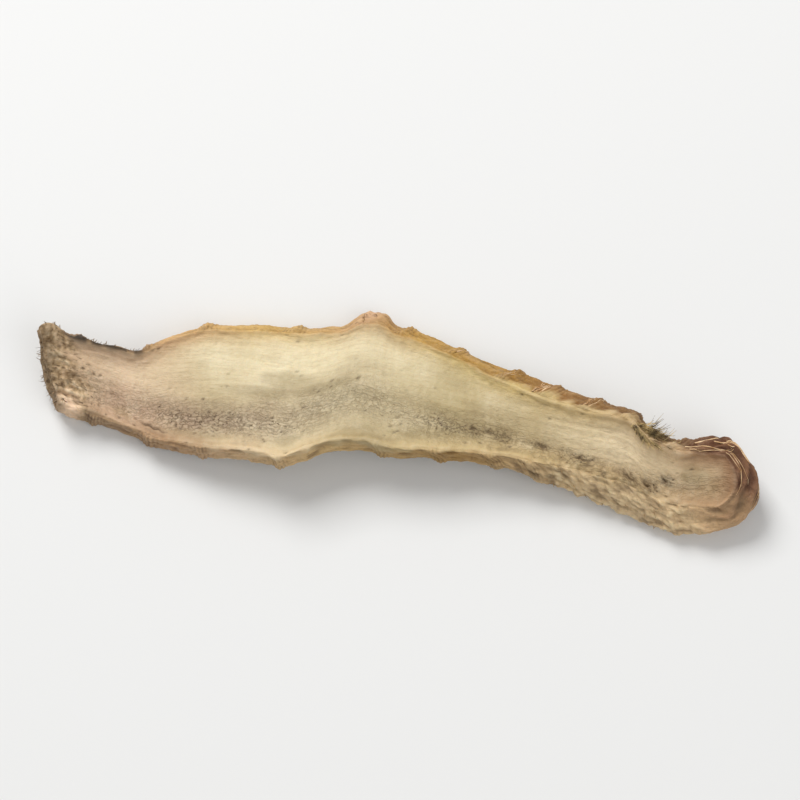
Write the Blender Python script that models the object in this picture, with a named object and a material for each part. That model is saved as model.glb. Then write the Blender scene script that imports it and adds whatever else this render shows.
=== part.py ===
# A dried slice of Solomon's seal root, lying on a table with a cut face up.
#
# The knobbly root was sliced lengthwise and dried, so it is one piece with three kinds of surface: the
# upper cut face, the under cut face, and a narrow wall of wrinkled skin that runs right round between them.
# The cut faces sank as they dried, and the skin stands up round them as a rim.
#
# Lengths are in millimetres, and MM turns them into Blender's metres. +X runs along the slice to its bud
# end, +Y runs across it to its far edge, and +Z is up. The origin is on the table, under the middle of the
# slice's bounding box.
#
# A place on the slice is given by three numbers: s runs from 0 at the stem scar to 1 at the bud end, t from
# -1 at the near edge to 1 at the far edge, and w down the skin from 0 at the upper rim to 1 at the lower rim.

import math
from functools import lru_cache

import bmesh
import bpy
from mathutils import Vector, noise

MM = 0.001

LENGTH = 86.0
THICKNESS = 3.2

# How many faces the slice has along it, across it and down its skin, and how far they crowd to its edges.
STEPS_ALONG = 114
STEPS_ACROSS = 14
STEPS_DOWN = 6
CROWDING_ALONG = 0.25
CROWDING_ACROSS = 0.60

# Straight lines across the slice, each from its near edge (x, y) to its far edge (x, y), in plan.
RIBS = (
    (-39.2, -7.4, -42.6, 0.7),
    (-37.8, -7.7, -41.2, 1.8),
    (-35.6, -7.7, -38.8, 0.9),
    (-32.2, -8.4, -34.2, 0.6),
    (-28.8, -9.2, -30.6, 0.8),
    (-25.2, -9.9, -27.4, 3.5),
    (-21.0, -10.2, -23.2, 5.7),
    (-16.0, -9.9, -17.6, 6.7),
    (-12.0, -10.3, -12.6, 7.2),
    (-9.8, -9.1, -9.6, 7.6),
    (-7.0, -7.5, -6.2, 8.1),
    (-3.4, -6.8, -2.4, 8.7),
    (2.0, -6.6, 2.8, 8.3),
    (8.4, -5.8, 8.8, 6.6),
    (15.0, -5.9, 15.8, 5.0),
    (21.0, -6.7, 21.8, 3.8),
    (26.4, -7.8, 27.0, 3.1),
    (29.6, -8.8, 29.0, 1.3),
    (33.2, -9.5, 32.8, 0.4),
    (36.8, -9.3, 36.2, 1.3),
    (39.4, -8.5, 39.0, 1.1),
    (41.1, -7.4, 41.0, -0.6),
)

# How far the two ends bulge out past the first and the last rib, and the share of the length that bulges.
STEM_END_BULGE = 0.5
BUD_END_BULGE = 2.0
BULGE_RUN = 0.06

# Heights of the lower rim over the table, as (s, near edge, far edge). The slice rests where it would dip
# under the table: it is cut off flat there.
UNDERSIDE = (
    (0.00, 0.4, 2.8),
    (0.09, -0.3, 1.9),
    (0.20, 1.3, 0.5),
    (0.34, 3.0, -0.3),
    (0.50, 3.2, 0.6),
    (0.66, 2.2, 2.0),
    (0.80, 0.4, 3.0),
    (0.89, -0.3, 3.0),
    (1.00, 0.8, 2.4),
)

# How far the skin slopes out beyond the upper rim, as (s, near edge, far edge), and at the two ends.
FLARE = (
    (0.00, 0.4, 0.3),
    (0.15, 0.4, 0.4),
    (0.28, 0.5, 1.0),
    (0.42, 0.6, 0.9),
    (0.55, 0.5, 1.3),
    (0.70, 1.2, 2.1),
    (0.80, 2.2, 1.8),
    (0.90, 2.5, 1.6),
    (1.00, 2.0, 2.0),
)
STEM_END_FLARE = 0.6
BUD_END_FLARE = 3.0

# The skin is widest at this place down it, and is drawn in again by this share of its slope at the bottom.
WIDEST_DOWN = 0.70
UNDERCUT = 0.30

# Thickness at the rim, as (s, share of THICKNESS). The stem end and the bud end are the stout ones.
STOUTNESS = (
    (0.00, 1.10),
    (0.12, 0.92),
    (0.32, 1.05),
    (0.52, 0.95),
    (0.72, 1.00),
    (0.88, 1.35),
    (1.00, 1.10),
)

# The sunk cut faces: how deep they lie under their rims, and how far in from the rim they get there.
UPPER_SINK = 0.50
UNDER_SINK = 0.45
SINK_RUN = 2.0

# The furrow over the core of the root, as (s, t of its middle, depth).
FURROW = (
    (0.00, -0.20, 0.20),
    (0.12, -0.45, 0.35),
    (0.27, -0.50, 0.45),
    (0.45, -0.30, 0.40),
    (0.58, -0.36, 0.40),
    (0.75, -0.40, 0.30),
    (0.87, -0.28, 0.15),
    (1.00, 0.10, 0.05),
)
FURROW_HALF_WIDTH = 1.5

# Waves of the whole slice from uneven drying, as height and size, and the wander of its edges.
BUCKLE = 0.42
BUCKLE_SIZE = 8.0
EDGE_WANDER = 0.30
EDGE_WANDER_SIZE = 3.4
EDGE_SHARPNESS = 6

# Growth rings that cross the skin at these places s, and the folds that run along it.
RINGS = (0.055, 0.145, 0.225, 0.345, 0.495, 0.575, 0.655, 0.715, 0.775, 0.835, 0.915)
RING_HEIGHT = 0.36
RING_HALF_WIDTH = 0.65
FOLDS = 1.5
FOLD_HEIGHT = 0.14
BUD_FOLD_HEIGHT = 0.32
BUD_START = 0.90
BUD_RUN = 0.08
FOLD_DRIFT_SIZE = 12.0

# Round scars of thin rootlets on the skin, as (s, edge t, w, radius, height).
ROOT_SCARS = (
    (0.185, -1, 0.45, 1.1, 0.40),
    (0.300, 1, 0.40, 1.0, 0.35),
    (0.395, -1, 0.50, 1.3, 0.45),
    (0.610, 1, 0.45, 1.0, 0.40),
    (0.690, -1, 0.35, 1.2, 0.50),
    (0.735, -1, 0.65, 1.0, 0.40),
    (0.805, -1, 0.35, 1.3, 0.55),
    (0.870, -1, 0.60, 1.1, 0.45),
    (0.960, 1, 0.50, 1.2, 0.50),
)

# The stub of a thick rootlet on the far edge, strongest at its own place down the skin.
STUB_S = 0.437
STUB_LENGTH = 1.9
STUB_HALF_WIDTH = 2.3
STUB_DOWN = 0.35
STUB_SPREAD = 0.55

# The knob at the far corner of the stem scar, and the torn fibres of the scar itself.
KNOB_RADIUS = 2.4
KNOB_HEIGHT = 1.3
SCAR_LENGTH = 6.5
SCAR_ROUGHNESS = 0.45
SCAR_GRAIN = 1.7

FLESH_COLOUR = (0.58, 0.44, 0.27, 1.0)
FLESH_ROUGHNESS = 0.7


def clear_scene():
    for thing in list(bpy.data.objects):
        bpy.data.objects.remove(thing)


def mix(a, b, share):
    return a + (b - a) * share


def ease(share):
    """0 to 1 with a soft start and a soft end."""
    share = min(max(share, 0.0), 1.0)
    return share * share * (3.0 - 2.0 * share)


def bell(distance, width):
    """1 at no distance, falling to 0 on both sides."""
    return math.exp(-((distance / width) ** 2))


def crowded(u, share):
    """Moves an even step u, from -1 to 1, towards the nearer end."""
    return mix(u, math.sin(math.pi / 2 * u), share)


def along(table, s):
    """The values at s on a smooth curve through the rows of a table, each (s, value, ...)."""
    i = 0
    while i < len(table) - 2 and table[i + 1][0] <= s:
        i += 1
    before, start = table[max(i - 1, 0)], table[i]
    end, after = table[i + 1], table[min(i + 2, len(table) - 1)]
    span = end[0] - start[0]
    p = (s - start[0]) / span
    values = []
    for k in range(1, len(start)):
        rise = end[k] - start[k]
        leaving = (end[k] - before[k]) / (end[0] - before[0]) * span
        arriving = (after[k] - start[k]) / (after[0] - start[0]) * span
        bend = leaving * (1 - p) - arriving * p + rise * (2 * p - 1)
        values.append(start[k] + rise * p + p * (1 - p) * bend)
    return values


def placed(ribs):
    """The ribs as rows of (s, near x, near y, far x, far y), with s even along their middles."""
    middles = [Vector(((rib[0] + rib[2]) / 2, (rib[1] + rib[3]) / 2)) for rib in ribs]
    run = [0.0]
    for here, there in zip(middles, middles[1:]):
        run.append(run[-1] + (there - here).length)
    return [(distance / run[-1], *rib) for distance, rib in zip(run, ribs)]


PLACED_RIBS = placed(RIBS)


def wander(x, y, size, layer):
    """A smooth random number from about -1 to 1 over the plan, the same on each run."""
    return noise.noise(Vector((x / size, y / size, layer)))


def reach(w):
    """How far out the skin stands at w, from 0 at the upper rim to 1 at the slice's outline."""
    if w < WIDEST_DOWN:
        return math.sin(math.pi / 2 * w / WIDEST_DOWN)
    return 1 - UNDERCUT * ((w - WIDEST_DOWN) / (1 - WIDEST_DOWN)) ** 2


@lru_cache(maxsize=None)
def rib_at(s, w):
    """The near end and the far end of the line across the slice at s, as w goes down the skin."""
    inward = 1 - reach(w)
    s = mix(inward * STEM_END_FLARE / LENGTH, 1 - inward * BUD_END_FLARE / LENGTH, s)
    near_x, near_y, far_x, far_y = along(PLACED_RIBS, s)
    near, far = Vector((near_x, near_y)), Vector((far_x, far_y))
    across = (far - near).normalized()
    near_flare, far_flare = along(FLARE, s)
    stub = STUB_LENGTH / (1 + ((s - STUB_S) * LENGTH / STUB_HALF_WIDTH) ** 4)
    near += across * inward * near_flare
    far += across * (stub * bell(w - STUB_DOWN, STUB_SPREAD) - inward * far_flare)
    return near, far


def plan(s, t, w):
    """The place (x, y) in plan."""
    near, far = rib_at(s, w)
    across = (far - near).normalized()
    lengthwise = Vector((across.y, -across.x))
    bulge = BUD_END_BULGE * ease((s - 1 + BULGE_RUN) / BULGE_RUN)
    bulge -= STEM_END_BULGE * ease((BULGE_RUN - s) / BULGE_RUN)
    point = mix(near, far, (t + 1) / 2) + lengthwise * bulge * (1 - t * t)
    wave = EDGE_WANDER * wander(point.x, point.y, EDGE_WANDER_SIZE, 0.5)
    return point + across * wave * abs(t) ** EDGE_SHARPNESS


def half_width(s, w):
    near, far = rib_at(s, w)
    return (far - near).length / 2


def sunk_share(s, t, w):
    """0 at the rim of a cut face, and 1 from SINK_RUN inwards."""
    side = ease((1 - abs(t)) * half_width(s, w) / SINK_RUN)
    stem_end = ease(s * LENGTH / SINK_RUN)
    bud_end = ease((1 - s) * LENGTH / SINK_RUN)
    return side * stem_end * bud_end


def height(s, t, w):
    """The height over the table, before the fine relief."""
    x, y = plan(s, t, w)
    near, far = along(UNDERSIDE, s)
    bottom = mix(near, far, (t + 1) / 2)
    thick = THICKNESS * along(STOUTNESS, s)[0]
    top = bottom + thick + BUCKLE * wander(x, y, BUCKLE_SIZE, 2.5)
    knob = math.hypot(s * LENGTH, (1 - t) * half_width(s, w))
    top += KNOB_HEIGHT * bell(knob, KNOB_RADIUS)
    sunk = sunk_share(s, t, w)
    if w == 0:
        furrow_t, furrow_depth = along(FURROW, s)
        off_furrow = (t - furrow_t) * half_width(s, w)
        top -= sunk * (UPPER_SINK + furrow_depth * bell(off_furrow, FURROW_HALF_WIDTH))
    if w == 1:
        bottom += sunk * (UNDER_SINK + BUCKLE * wander(x, y, BUCKLE_SIZE, 6.5))
    return mix(top, bottom, w)


def relief(s, t, w):
    """How far the surface stands out by its scars, rings and folds."""
    x, y = plan(s, t, w)
    scar = ease(1 - s * LENGTH / SCAR_LENGTH)
    out = scar * SCAR_ROUGHNESS * wander(x, y, SCAR_GRAIN, 4.5 + w)
    on_skin = abs(t) == 1 or s in (0, 1)
    if not on_skin:
        return out
    for ring in RINGS:
        out += RING_HEIGHT * bell((s - ring) * LENGTH, RING_HALF_WIDTH)
    fold = mix(FOLD_HEIGHT, BUD_FOLD_HEIGHT, ease((s - BUD_START) / BUD_RUN))
    drift = wander(x, y, FOLD_DRIFT_SIZE, 8.5)
    out += fold * math.sin(math.pi * w) * math.cos(2 * math.pi * (FOLDS * w + drift))
    for scar_s, edge, scar_w, radius, tall in ROOT_SCARS:
        if edge == t:
            away = math.hypot((s - scar_s) * LENGTH, (w - scar_w) * THICKNESS)
            out += tall * bell(away, radius)
    return out


def block_of_faces():
    """A closed block of square faces, and the place (s, t, w) of each of its corners."""
    block = bmesh.new()
    bmesh.ops.create_grid(block, x_segments=STEPS_ALONG, y_segments=STEPS_ACROSS, size=0.5)
    made = bmesh.ops.extrude_face_region(block, geom=block.faces[:])
    lifted = [part for part in made["geom"] if isinstance(part, bmesh.types.BMVert)]
    bmesh.ops.translate(block, vec=(0, 0, 1), verts=lifted)
    upright = [edge for edge in block.edges if abs(edge.verts[0].co.z - edge.verts[1].co.z) > 0.5]
    bmesh.ops.subdivide_edges(block, edges=upright, cuts=STEPS_DOWN - 1, use_grid_fill=True)
    places = []
    for corner in block.verts:
        s = (crowded(2 * corner.co.x, CROWDING_ALONG) + 1) / 2
        t = crowded(2 * corner.co.y, CROWDING_ACROSS)
        places.append((round(s, 6), round(t, 6), round(1 - corner.co.z, 6)))
    return block, places


def shape_slice(block, places):
    """Moves each corner of the block to its place on the slice, then raises the relief."""
    for corner, (s, t, w) in zip(block.verts, places):
        corner.co = Vector((*plan(s, t, w), height(s, t, w))) * MM
    bmesh.ops.recalc_face_normals(block, faces=block.faces[:])
    block.normal_update()
    outward = [corner.normal.copy() for corner in block.verts]
    for corner, place, normal in zip(block.verts, places, outward):
        corner.co += normal * relief(*place) * MM


def rest_on_table(block):
    """Cuts off what dips under the table, which leaves small flat spots to rest on."""
    everything = block.verts[:] + block.edges[:] + block.faces[:]
    bmesh.ops.bisect_plane(
        block, geom=everything, dist=1e-6, plane_co=(0, 0, 0), plane_no=(0, 0, -1), clear_outer=True
    )
    cut = [edge for edge in block.edges if edge.is_boundary]
    bmesh.ops.holes_fill(block, edges=cut, sides=0)
    bmesh.ops.recalc_face_normals(block, faces=block.faces[:])


def centre_over_origin(block):
    """Moves the slice so that the middle of its bounding box is over the origin."""
    xs = [corner.co.x for corner in block.verts]
    ys = [corner.co.y for corner in block.verts]
    middle = Vector(((min(xs) + max(xs)) / 2, (min(ys) + max(ys)) / 2, 0))
    bmesh.ops.translate(block, vec=-middle, verts=block.verts[:])


def flesh_material():
    made = bpy.data.materials.new("dried_flesh")
    made.use_nodes = True
    shader = made.node_tree.nodes["Principled BSDF"]
    shader.inputs["Base Color"].default_value = FLESH_COLOUR
    shader.inputs["Roughness"].default_value = FLESH_ROUGHNESS
    shader.inputs["Metallic"].default_value = 0.0
    made.diffuse_color = FLESH_COLOUR
    return made


def make_slice():
    block, places = block_of_faces()
    shape_slice(block, places)
    rest_on_table(block)
    centre_over_origin(block)
    mesh = bpy.data.meshes.new("solomons_seal_slice")
    block.to_mesh(mesh)
    block.free()
    mesh.materials.append(flesh_material())
    mesh.shade_smooth()
    piece = bpy.data.objects.new("solomons_seal_slice", mesh)
    bpy.context.scene.collection.objects.link(piece)


def main():
    clear_scene()
    make_slice()


main()
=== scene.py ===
# The finished look of a dried slice of Solomon's seal root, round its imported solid.
#
# One fine piece stands for the whole slice: it has the solid's own form, worked out again from the same
# tables, and adds the fibres, pits, cracks, wrinkles and scars. Four small pieces add the torn fibres of the
# stem scar, the matted fibres in the notch, the hairs of old rootlets and the rags of the scale leaves.
#
# Lengths are in millimetres until MM turns them into Blender's metres. A place on the slice is given by
# three numbers: s runs from 0 at the stem scar to 1 at the bud end, t from -1 at the near edge to 1 at the
# far edge, and w down the skin from 0 at the upper rim to 1 at the lower rim.

import math
import random
from functools import lru_cache

import bmesh
import bpy
from mathutils import Matrix, Vector, noise
from mathutils.bvhtree import BVHTree


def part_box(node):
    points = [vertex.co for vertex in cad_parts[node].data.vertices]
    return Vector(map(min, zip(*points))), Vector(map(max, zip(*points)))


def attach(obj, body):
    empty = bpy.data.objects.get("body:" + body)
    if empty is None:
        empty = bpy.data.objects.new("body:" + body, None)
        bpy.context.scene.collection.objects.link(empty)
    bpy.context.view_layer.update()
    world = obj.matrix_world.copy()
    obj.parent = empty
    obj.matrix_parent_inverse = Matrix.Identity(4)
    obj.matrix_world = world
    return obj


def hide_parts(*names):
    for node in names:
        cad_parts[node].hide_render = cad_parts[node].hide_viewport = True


MM = 0.001
NODE = "solomons_seal_slice"

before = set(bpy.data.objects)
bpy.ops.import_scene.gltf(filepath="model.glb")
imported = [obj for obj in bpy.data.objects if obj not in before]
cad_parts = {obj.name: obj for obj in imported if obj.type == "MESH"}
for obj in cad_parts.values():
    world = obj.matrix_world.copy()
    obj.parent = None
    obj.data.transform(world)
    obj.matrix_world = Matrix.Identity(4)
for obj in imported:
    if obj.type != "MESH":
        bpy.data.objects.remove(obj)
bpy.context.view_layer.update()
SOLID_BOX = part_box(NODE)

LENGTH = 86.0
THICKNESS = 3.2

# How many faces go along the slice, across it and down its skin, and how far they crowd to its edges.
STEPS_ALONG = 440
STEPS_ACROSS = 76
STEPS_DOWN = 28
CROWDING_ALONG = 0.25
CROWDING_ACROSS = 0.60

# Straight lines across the slice, each from its near edge (x, y) to its far edge (x, y), in plan.
RIBS = (
    (-39.2, -7.4, -42.6, 0.7), (-37.8, -7.7, -41.2, 1.8), (-35.6, -7.7, -38.8, 0.9),
    (-32.2, -8.4, -34.2, 0.6), (-28.8, -9.2, -30.6, 0.8), (-25.2, -9.9, -27.4, 3.5),
    (-21.0, -10.2, -23.2, 5.7), (-16.0, -9.9, -17.6, 6.7), (-12.0, -10.3, -12.6, 7.2),
    (-9.8, -9.1, -9.6, 7.6), (-7.0, -7.5, -6.2, 8.1), (-3.4, -6.8, -2.4, 8.7),
    (2.0, -6.6, 2.8, 8.3), (8.4, -5.8, 8.8, 6.6), (15.0, -5.9, 15.8, 5.0),
    (21.0, -6.7, 21.8, 3.8), (26.4, -7.8, 27.0, 3.1), (29.6, -8.8, 29.0, 1.3),
    (33.2, -9.5, 32.8, 0.4), (36.8, -9.3, 36.2, 1.3), (39.4, -8.5, 39.0, 1.1),
    (41.1, -7.4, 41.0, -0.6),
)

# How far the two ends bulge out past the first and the last rib, and the share of the length that bulges.
STEM_END_BULGE = 0.5
BUD_END_BULGE = 2.0
BULGE_RUN = 0.06

# Heights of the lower rim over the table, as (s, near edge, far edge).
UNDERSIDE = (
    (0.00, 0.4, 2.8), (0.09, -0.3, 1.9), (0.20, 1.3, 0.5), (0.34, 3.0, -0.3),
    (0.50, 3.2, 0.6), (0.66, 2.2, 2.0), (0.80, 0.4, 3.0), (0.89, -0.3, 3.0),
    (1.00, 0.8, 2.4),
)

# How far the skin slopes out beyond the upper rim, as (s, near edge, far edge), and at the two ends.
FLARE = (
    (0.00, 0.4, 0.3), (0.15, 0.4, 0.4), (0.28, 0.5, 1.0), (0.42, 0.6, 0.9),
    (0.55, 0.5, 1.3), (0.70, 1.2, 2.1), (0.80, 2.2, 1.8), (0.90, 2.5, 1.6),
    (1.00, 2.0, 2.0),
)
STEM_END_FLARE = 0.6
BUD_END_FLARE = 3.0
WIDEST_DOWN = 0.70
UNDERCUT = 0.30

# Thickness at the rim, as (s, share of THICKNESS).
STOUTNESS = (
    (0.00, 1.10), (0.12, 0.92), (0.32, 1.05), (0.52, 0.95),
    (0.72, 1.00), (0.88, 1.35), (1.00, 1.10),
)

# The sunk cut faces: how deep they lie under their rims, and how far in from the rim they get there.
UPPER_SINK = 0.50
UNDER_SINK = 0.45
SINK_RUN = 2.0

# The furrow over the core of the root, as (s, t of its middle, depth).
FURROW = (
    (0.00, -0.20, 0.20), (0.12, -0.45, 0.35), (0.27, -0.50, 0.45), (0.45, -0.30, 0.40),
    (0.58, -0.36, 0.40), (0.75, -0.40, 0.30), (0.87, -0.28, 0.15), (1.00, 0.10, 0.05),
)
FURROW_HALF_WIDTH = 1.5

# Waves of the whole slice from uneven drying, as height and size, and the wander of its edges.
BUCKLE = 0.42
BUCKLE_SIZE = 8.0
EDGE_WANDER = 0.30
EDGE_WANDER_SIZE = 3.4
EDGE_SHARPNESS = 6

# Growth rings that cross the skin at these places s, and the folds that run along it.
RINGS = (0.055, 0.145, 0.225, 0.345, 0.495, 0.575, 0.655, 0.715, 0.775, 0.835, 0.915)
RING_HEIGHT = 0.36
RING_HALF_WIDTH = 0.65
FOLDS = 1.5
FOLD_HEIGHT = 0.14
BUD_FOLD_HEIGHT = 0.32
BUD_START = 0.90
BUD_RUN = 0.08
FOLD_DRIFT_SIZE = 12.0

# Round scars of thin rootlets on the skin, as (s, edge t, w, radius, height).
ROOT_SCARS = (
    (0.185, -1, 0.45, 1.1, 0.40), (0.300, 1, 0.40, 1.0, 0.35), (0.395, -1, 0.50, 1.3, 0.45),
    (0.610, 1, 0.45, 1.0, 0.40), (0.690, -1, 0.35, 1.2, 0.50), (0.735, -1, 0.65, 1.0, 0.40),
    (0.805, -1, 0.35, 1.3, 0.55), (0.870, -1, 0.60, 1.1, 0.45), (0.960, 1, 0.50, 1.2, 0.50),
)

# The stub of a thick rootlet on the far edge.
STUB_S = 0.437
STUB_LENGTH = 1.9
STUB_HALF_WIDTH = 2.3
STUB_DOWN = 0.35
STUB_SPREAD = 0.55

# The knob at the far corner of the stem scar, and the torn fibres of the scar itself.
KNOB_RADIUS = 2.4
KNOB_HEIGHT = 1.3
SCAR_LENGTH = 6.5
SCAR_ROUGHNESS = 0.45
SCAR_GRAIN = 1.7

# From here on, a random pattern is given as (strength, length, width, layer of the noise).

# Fine relief of the cut faces, with the puckers by their rims and the scores of the knife.
FIBRES = (0.055, 8.0, 0.55, 41.5)
DENTS = (0.10, 3.36, 2.1, 42.5)
GRAINS = (0.04, 0.55, 0.55, 43.5)
PUCKERS = (0.14, 0.95, 1.52, 45.5)
PUCKER_RUN = 1.3
KNIFE_HEIGHT = 0.012
KNIFE_SPACING = 1.15
KNIFE_SLANT = 0.2
KNIFE_SWING = (1.5, 6.0, 6.0, 47.5)

# The lip of skin round the cut faces, and the groove inside it, which wanders and breaks off.
LIP_HEIGHT = 0.11
LIP_IN = 0.28
LIP_WIDTH = 0.25
GROOVE_IN = 0.80
GROOVE_SHARE = 0.55
GROOVE_WANDER = (0.55, 3.0, 1.0, 46.5)
GROOVE_BREAKS = (0.9, 2.2, 1.0, 48.5)

# Small pits where the root's vessels were cut, and the share of places that have one: anywhere, over the
# core and in a patch.
PIT_LONG = 0.95
PIT_WIDE = 0.52
PIT_DEPTH = 0.15
PIT_EDGE = 0.40
PIT_SHARE = 0.05
PIT_SHARE_CORE = 0.24
PIT_SHARE_PATCH = 0.78
PIT_BEND = (0.8, 4.0, 4.0, 17.5)
PIT_LAYERS = (3.5, 12.5)
PIT_CHANCES = Vector((40.5, 40.5, 40.5))
PIT_DARKNESS = 0.8

# Patches of many pits in the upper face, as (s, t, half length, half width).
PIT_PATCHES = (
    (0.050, -0.40, 2.0, 2.4), (0.200, -0.55, 3.2, 1.0), (0.270, -0.55, 3.5, 1.2),
    (0.335, -0.52, 3.0, 1.0), (0.570, -0.39, 1.7, 0.8), (0.600, -0.43, 1.9, 0.7),
    (0.635, -0.42, 1.6, 0.7), (0.668, -0.44, 1.6, 0.6), (0.732, -0.44, 1.2, 0.4),
    (0.790, -0.57, 2.3, 0.8), (0.827, -0.93, 0.5, 0.7), (0.866, -0.70, 1.3, 0.6),
    (0.897, -0.57, 1.3, 0.7), (0.920, -0.12, 0.9, 0.6),
)
PATCH_EDGE = (0.5, 1.6, 0.7, 13.5)
BLOT_REACH = 1.6

# How far down the skin the flesh shows where the upper rim is worn, as (s, w at near edge, w at far edge).
WORN = (
    (0.00, 0.00, 0.00), (0.12, 0.05, 0.00), (0.20, 0.08, 0.00), (0.26, 0.28, 0.00),
    (0.38, 0.28, 0.00), (0.50, 0.34, 0.00), (0.62, 0.12, 0.05), (0.72, 0.12, 0.24),
    (0.86, 0.15, 0.32), (0.92, 0.08, 0.36), (0.96, 0.04, 0.08), (1.00, 0.00, 0.00),
)
WORN_EDGE = (0.8, 1.6, 1.0, 55.5)
WORN_RUN = 0.3
WORN_THROUGH = 0.2
SKIN_LINE = 0.35
RIM_RUN = 1.5

# Dark spots on the near skin and on the bud, as (millimetres round the edge from the stem scar, w).
SKIN_SPOTS = ((61.5, 0.35), (63.5, 0.35), (65.3, 0.20), (87.2, 0.22))
SPOT_ROUND = 0.9
SPOT_DOWN = 0.16

# The band of vessels over the core of the root, as (s, t of its middle, half width).
CORE = (
    (0.00, -0.25, 2.0), (0.12, -0.48, 2.1), (0.22, -0.54, 2.1), (0.30, -0.50, 2.6),
    (0.36, -0.38, 3.0), (0.43, -0.27, 3.3), (0.50, -0.33, 2.5), (0.58, -0.48, 2.2),
    (0.66, -0.49, 1.9), (0.72, -0.58, 1.5), (0.78, -0.72, 1.3), (0.86, -0.80, 1.4),
    (0.92, -0.35, 1.4), (1.00, -0.10, 1.2),
)
CORE_EDGE = (0.45, 5.0, 1.2, 11.5)
CORE_START = 0.03
CORE_RUN = 0.08

# Smooth olive stains of the upper face, and painted shade in a soft band across its middle and in a dip by
# the near rim, as (s, t, half length, half width).
STAINS_AND_SHADE = (
    (0.105, -0.68, 1.2, 0.8), (0.220, -0.79, 3.5, 0.5), (0.312, 0.00, 4.0, 0.6),
    (0.360, -0.74, 1.6, 0.6), (0.345, 0.20, 2.8, 1.0), (0.390, 0.06, 4.5, 0.7),
    (0.475, -0.88, 2.6, 1.2), (0.555, -0.70, 2.0, 0.5), (0.955, 0.20, 1.2, 0.8),
)
STAIN_AND_SHADE_EDGE = (0.4, 2.5, 1.5, 15.5)

# Painted light: the middle of the upper face is painted paler towards its far edge, along the slice and
# across it.
PALE_S = 0.36
PALE_RUN = 0.20
PALE_T = -0.15
PALE_T_RUN = 0.6

# Cracks in the upper face, as (s, t, half length, lean across the slice per length).
CRACKS = (
    (0.152, -0.79, 2.8, -0.19), (0.628, -0.42, 0.7, 0.10), (0.652, -0.43, 0.8, -0.05),
    (0.732, -0.44, 1.0, -0.15), (0.792, -0.58, 1.5, -0.35), (0.865, -0.71, 1.1, 0.05),
    (0.892, -0.60, 0.9, 0.15), (0.919, -0.14, 0.7, -0.20),
)
CRACK_DEPTH = 0.24
CRACK_HALF_WIDTH = 0.14
CRACK_WANDER = (0.35, 0.7, 0.1, 21.5)

# The torn end at the stem scar, longest over the middle of the root.
TORN_LENGTH = 2.6
TORN_MORE = 1.7
TORN_MORE_T = -0.35
TORN_MORE_WIDTH = 0.50
TORN_RUN = 1.5
TORN_WANDER = (1.8, 3.0, 0.9, 31.5)
TORN_FIBRES = (0.24, 2.6, 0.45, 49.5)
TORN_CRUMBS = (0.168, 0.55, 0.55, 51.5)
TORN_SKIN = (0.144, 0.60, 0.60, 67.5)

# The pale corner of the torn end, as its place in from the end, its t and its radius.
CORNER_A = 1.6
CORNER_T = -0.9
CORNER_RADIUS = 1.3

# The dark far edge beside the stem scar, its own dark skin under a painted shadow line, with its ragged
# outline and its breaks.
DARK_EDGE_START = 0.025
DARK_EDGE_END = 0.135
DARK_EDGE_RUN = 0.02
DARK_EDGE_IN = 0.30
DARK_EDGE_DOWN = 1.4
DARK_EDGE_DOWN_RUN = 0.8
DARK_EDGE_KEPT = 1.2
DARK_EDGE_OUTLINE = (1.0, 1.2, 0.5, 53.5)
DARK_EDGE_BREAKS = (2.4, 1.2, 1.2, 54.5)

# Fine relief of the skin: wrinkles, ring lines, craters of the root scars and the broken end of the stub.
WRINKLES = ((0.110, 3.4, 0.75, 64.9), (0.070, 1.9, 0.36, 63.4))
WRINKLE_SHARPNESS = 4
CRINKLES = (0.07, 0.50, 0.50, 63.5)
RING_LINE_HEIGHT = 0.07
RING_LINE_SPACING = 0.50
RING_LINE_RUN = 1.4
RING_LINE_SWING = (2.0, 2.0, 1.2, 64.5)
RING_LINES_HIDDEN = 0.8
CRATER_DEPTH = 0.45
CRATER_SHARE = 0.48
STUB_END_WIDTH = 1.5
STUB_END_DEPTH = 0.3
STUB_ROUGHNESS = (0.30, 0.50, 0.50, 69.5)

# The dry scales folded over the bud, each with a raised edge.
SCALE_HEIGHT = 0.26
SCALE_SPACING = 1.05
SCALE_DRIFT = (1.2, 4.0, 4.0, 65.5)
SCALE_EDGE = 0.72
SCALE_LEVEL = 0.35

# The beaded near rim by the bud.
BEAD_HEIGHT = 0.19
BEAD_LONG = 0.85
BEAD_WIDE = 0.72
BEAD_LAYER = 25.5
BEAD_STEEPNESS = 2.2
BEAD_START = 0.70
BEAD_START_RUN = 0.05
BEAD_END = 0.97
BEAD_END_RUN = 0.04
BEAD_IN = 1.6

# Half of the slice's width at its two ends, and where the skin and the underside lie in the flat map.
STEM_HALF = 4.4
BUD_HALF = 3.4
MAP_SKIN = 60
MAP_UNDERSIDE = 30

# The relief that counts as a full crest or a full dip, which get the full painted highlight and painted
# shade, and how fast the far side's colours take over.
FULL_RELIEF = 0.2
FAR_STEEPNESS = 1.4


def mix(a, b, share):
    return a + (b - a) * share


def ease(share):
    """0 to 1 with a soft start and a soft end."""
    share = min(max(share, 0.0), 1.0)
    return share * share * (3.0 - 2.0 * share)


def bell(distance, width):
    """1 at no distance, falling to 0 on both sides."""
    return math.exp(-((distance / width) ** 2))


def crowded(u, share):
    """Moves an even step u, from -1 to 1, towards the nearer end."""
    return mix(u, math.sin(math.pi / 2 * u), share)


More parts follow.
